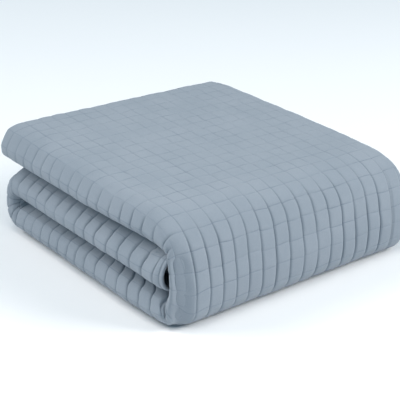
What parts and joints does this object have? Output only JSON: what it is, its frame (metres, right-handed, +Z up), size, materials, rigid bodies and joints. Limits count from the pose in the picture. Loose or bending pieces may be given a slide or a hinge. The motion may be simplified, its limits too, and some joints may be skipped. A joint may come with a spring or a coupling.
{
  "type": "folded quilted coverlet",
  "caption": "Grid-quilted bed coverlet folded in four to a strip, then in three to a thick block with closed rolls on one side and one large turn.",
  "frame": {"origin": "middle of the block's footprint, on the surface it rests on", "axes": "+Z up; +X along the folded strip towards the large turn; +Y away from the closed rolls"},
  "size_m": [0.3966, 0.3956, 0.1526],
  "materials": {
    "fabric": "matte woven cloth, stitched in squares"
  },
  "bodies": {
    "root": {"coverlet": "fabric"}
  },
  "joints": []
}
